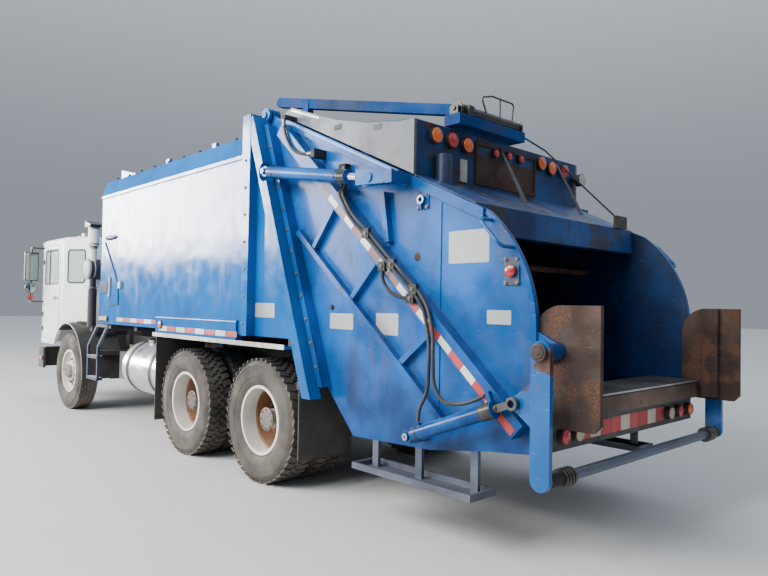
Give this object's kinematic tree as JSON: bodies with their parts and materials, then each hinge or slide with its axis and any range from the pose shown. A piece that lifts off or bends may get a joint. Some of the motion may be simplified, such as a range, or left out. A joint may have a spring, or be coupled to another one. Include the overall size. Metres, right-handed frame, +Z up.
{
  "type": "rear-loading refuse truck",
  "caption": "Rear-loading refuse truck with a low forward cab, tandem rear axles, a lifting tailgate, a sliding packer with a hinged blade, an ejector and a container kick bar.",
  "frame": {"origin": "on the ground under the middle of the whole length, on the centre plane", "axes": "+X forwards, +Y to the driver's side (left), +Z up"},
  "size_m": [9.55, 2.88, 3.3711],
  "materials": {
    "paint_blue": "glossy, scratched, chipped along edges",
    "paint_light_blue": "glossy, worn",
    "paint_white": "glossy, dusty low down",
    "paint_grey": "semi-gloss, weathered",
    "chassis_black": "matt, dusty",
    "rust_steel": "rusty, worn bright in places",
    "worn_steel": "scraped by the load",
    "tread_rubber": "dusty",
    "flap_rubber": "matt, dusty",
    "rim_white": "dusty, rust-brown at the hub",
    "tank_aluminium": "polished, dull",
    "chrome_rod": "bright, oily",
    "step_steel": "galvanised, worn",
    "cab_glass": "clear with a slight tint",
    "mirror_black": "fine grain",
    "seat_vinyl": "worn vinyl",
    "dash_plastic": "fine grain",
    "lamp_amber": "clear lens"
  },
  "bodies": {
    "truck": {"frame_rails": "chassis_black", "front_bumper": "chassis_black", "front_suspension": "chassis_black", "rear_suspension": "chassis_black", "drivetrain": "chassis_black", "fuel_tank": "tank_aluminium", "chassis_boxes": "paint_grey", "exhaust": "worn_steel", "cab_shell": "paint_white", "cab_glass": "cab_glass", "seats": "seat_vinyl", "dashboard": "dash_plastic", "mirrors": "mirror_black", "front_mudguards": "mirror_black", "air_intake": "mirror_black", "roof_lamps": "lamp_amber", "front_ladder": "paint_blue", "body_shell": "paint_blue", "body_rear_frame": "paint_blue", "body_subframe": "paint_blue", "rear_mudguards": "paint_blue", "mud_flaps": "flap_rubber"},
    "ejector": {"ejector": "paint_blue"},
    "tailgate": {"tailgate_sides": "paint_blue", "hopper": "worn_steel", "tailgate_roof": "paint_blue", "side_shrouds": "paint_grey", "container_guides": "rust_steel", "hoist_beam": "paint_blue", "side_steps": "step_steel", "tailgate_lamps": "mirror_black", "tailgate_hoses": "flap_rubber"},
    "packer_carrier": {"packer_carrier": "paint_blue"},
    "packer_blade": {"packer_blade": "worn_steel"},
    "lift_barrels": {"lift_barrels": "paint_light_blue"},
    "lift_rods": {"lift_rods": "chrome_rod"},
    "kick_barrels": {"kick_barrels": "paint_light_blue"},
    "kick_rods": {"kick_rods": "chrome_rod"},
    "kick_bar": {"kick_bar": "paint_blue"},
    "door_left": {"door_left": "paint_white", "door_glass_left": "cab_glass"},
    "door_right": {"door_right": "paint_white", "door_glass_right": "cab_glass"},
    "knuckle_left": {"steering_knuckle_left": "chassis_black"},
    "knuckle_right": {"steering_knuckle_right": "chassis_black"},
    "wheel_front_left": {"tyre_front_left": "tread_rubber", "rim_front_left": "rim_white"},
    "wheel_front_right": {"tyre_front_right": "tread_rubber", "rim_front_right": "rim_white"},
    "wheel_middle_left": {"tyre_middle_left": "tread_rubber", "rim_middle_left": "rim_white"},
    "wheel_middle_right": {"tyre_middle_right": "tread_rubber", "rim_middle_right": "rim_white"},
    "wheel_rear_left": {"tyre_rear_left": "tread_rubber", "rim_rear_left": "rim_white"},
    "wheel_rear_right": {"tyre_rear_right": "tread_rubber", "rim_rear_right": "rim_white"}
  },
  "joints": [
    {"name": "steering_left", "type": "hinge", "parent": "truck", "child": "knuckle_left", "pos_m": [3.382, 0.85, 0.535], "axis": [0, 0, 1], "range_deg": [-35, 35]},
    {"name": "steering_right", "type": "hinge", "parent": "truck", "child": "knuckle_right", "pos_m": [3.382, -0.85, 0.535], "axis": [0, 0, 1], "range_deg": [-35, 35]},
    {"name": "spin_front_left", "type": "hinge", "parent": "knuckle_left", "child": "wheel_front_left", "pos_m": [3.382, 1, 0.535], "axis": [0, 1, 0], "continuous": true},
    {"name": "spin_front_right", "type": "hinge", "parent": "knuckle_right", "child": "wheel_front_right", "pos_m": [3.382, -1, 0.535], "axis": [0, 1, 0], "continuous": true},
    {"name": "spin_middle_left", "type": "hinge", "parent": "truck", "child": "wheel_middle_left", "pos_m": [-0.282, 1, 0.535], "axis": [0, 1, 0], "continuous": true},
    {"name": "spin_middle_right", "type": "hinge", "parent": "truck", "child": "wheel_middle_right", "pos_m": [-0.282, -1, 0.535], "axis": [0, 1, 0], "continuous": true},
    {"name": "spin_rear_left", "type": "hinge", "parent": "truck", "child": "wheel_rear_left", "pos_m": [-1.665, 1, 0.535], "axis": [0, 1, 0], "continuous": true},
    {"name": "spin_rear_right", "type": "hinge", "parent": "truck", "child": "wheel_rear_right", "pos_m": [-1.665, -1, 0.535], "axis": [0, 1, 0], "continuous": true},
    {"name": "door_left_hinge", "type": "hinge", "parent": "truck", "child": "door_left", "pos_m": [4.54, 1.186, 1.6], "axis": [0, 0, -1], "range_deg": [0, 70]},
    {"name": "door_right_hinge", "type": "hinge", "parent": "truck", "child": "door_right", "pos_m": [4.54, -1.186, 1.6], "axis": [0, 0, 1], "range_deg": [0, 70]},
    {"name": "ejector_slide", "type": "slide", "parent": "truck", "child": "ejector", "axis": [-1, 0, 0], "range_m": [0, 3]},
    {"name": "tailgate_lift", "type": "hinge", "parent": "truck", "child": "tailgate", "pos_m": [-1.5571, 0, 3.22], "axis": [0, 1, 0], "range_deg": [0, 80]},
    {"name": "carrier_slide", "type": "slide", "parent": "tailgate", "child": "packer_carrier", "axis": [-0.7513, 0, -0.66], "range_m": [0, 0.865]},
    {"name": "blade_hinge", "type": "hinge", "parent": "packer_carrier", "child": "packer_blade", "pos_m": [-2.7652, 0, 2.0509], "axis": [0, 1, 0], "range_deg": [-80, 25]},
    {"name": "lift_barrel_hinge", "type": "hinge", "parent": "truck", "child": "lift_barrels", "pos_m": [-1.775, 0, 2.665], "axis": [0, 1, 0], "range_deg": [0, 80]},
    {"name": "lift_rod_slide", "type": "slide", "parent": "lift_barrels", "child": "lift_rods", "axis": [-0.9856, 0, -0.1691], "range_m": [0, 0.8]},
    {"name": "kick_bar_hinge", "type": "hinge", "parent": "tailgate", "child": "kick_bar", "pos_m": [-4.522, 0, 1.304], "axis": [0, 1, 0], "range_deg": [0, 70]},
    {"name": "kick_barrel_hinge", "type": "hinge", "parent": "tailgate", "child": "kick_barrels", "pos_m": [-3.515, 0, 0.69], "axis": [0, 1, 0], "range_deg": [-8, 0]},
    {"name": "kick_rod_slide", "type": "slide", "parent": "kick_barrels", "child": "kick_rods", "axis": [-0.9354, 0, 0.3536], "range_m": [0, 0.38]}
  ],
  "couplings": [
    {"joint": "steering_right", "follows": "steering_left", "ratio": 1},
    {"joint": "lift_barrel_hinge", "follows": "tailgate_lift", "ratio": 0.99},
    {"joint": "lift_rod_slide", "follows": "tailgate_lift", "m_per_rad": 0.57},
    {"joint": "kick_barrel_hinge", "follows": "kick_bar_hinge", "ratio": -0.11},
    {"joint": "kick_rod_slide", "follows": "kick_bar_hinge", "m_per_rad": 0.3075}
  ]
}
